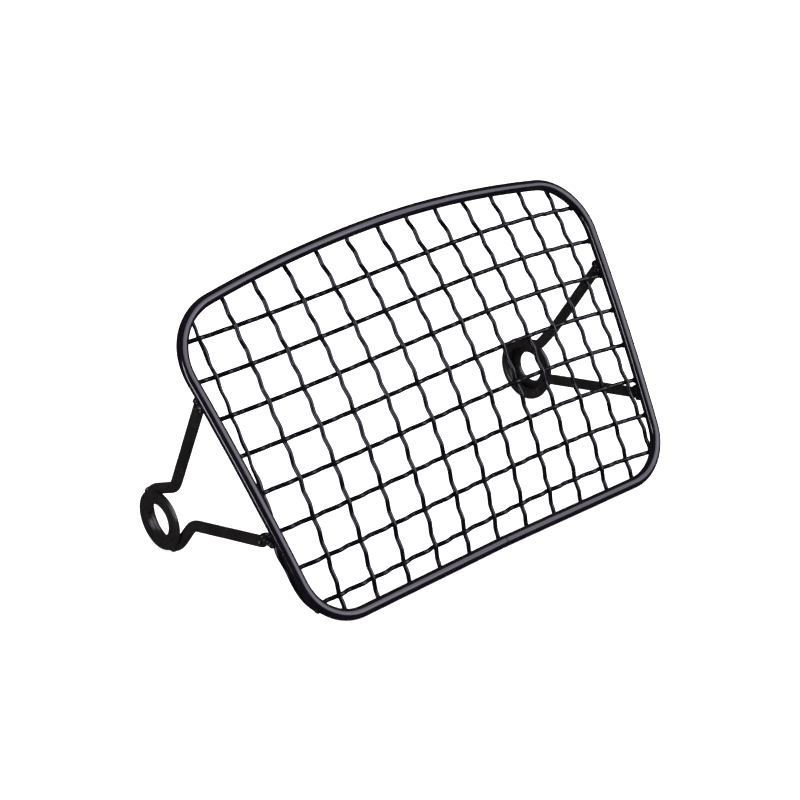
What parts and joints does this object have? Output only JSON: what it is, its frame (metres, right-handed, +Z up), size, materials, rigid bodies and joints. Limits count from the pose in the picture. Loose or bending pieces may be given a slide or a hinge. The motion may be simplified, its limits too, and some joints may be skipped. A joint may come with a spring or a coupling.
{
  "type": "headlamp mesh guard",
  "caption": "Wire mesh stone guard for a rectangular headlamp: a bowed rod rim, a domed crimped mesh, and bent rod arms that end in bolt eyelets with washers.",
  "frame": {"origin": "midway between the two eyelets, on the axis that their bolt holes share", "axes": "+X along the eyelet axis to the guard's own left-hand side as seen from the lamp, -Y towards the front of the mesh, +Z up with the guard resting on its lower rim and both eyelet loops"},
  "size_m": [0.235, 0.1153, 0.1312],
  "materials": {
    "rim_coat": "semi-gloss black powder coat",
    "mesh_coat": "semi-gloss black powder coat on crimped wire",
    "arm_coat": "satin black powder coat",
    "weld_coat": "black powder coat over weld beads"
  },
  "bodies": {
    "root": {"rim": "rim_coat", "rim_butt_weld": "weld_coat", "upright_wire_01": "mesh_coat", "upright_wire_02": "mesh_coat", "upright_wire_03": "mesh_coat", "upright_wire_04": "mesh_coat", "upright_wire_05": "mesh_coat", "upright_wire_06": "mesh_coat", "upright_wire_07": "mesh_coat", "upright_wire_08": "mesh_coat", "upright_wire_09": "mesh_coat", "upright_wire_10": "mesh_coat", "upright_wire_11": "mesh_coat", "upright_wire_12": "mesh_coat", "upright_wire_13": "mesh_coat", "cross_wire_01": "mesh_coat", "cross_wire_02": "mesh_coat", "cross_wire_03": "mesh_coat", "cross_wire_04": "mesh_coat", "cross_wire_05": "mesh_coat", "cross_wire_06": "mesh_coat", "cross_wire_07": "mesh_coat", "cross_wire_08": "mesh_coat", "mesh_welds_top": "weld_coat", "mesh_welds_bottom": "weld_coat", "mesh_welds_left": "weld_coat", "mesh_welds_right": "weld_coat", "arm_left": "arm_coat", "arm_right": "arm_coat", "washer_left": "arm_coat", "washer_right": "arm_coat", "washer_tacks_left": "weld_coat", "washer_tacks_right": "weld_coat", "arm_weld_upper_left": "weld_coat", "arm_weld_upper_right": "weld_coat", "arm_weld_lower_left": "weld_coat", "arm_weld_lower_right": "weld_coat"}
  },
  "joints": []
}
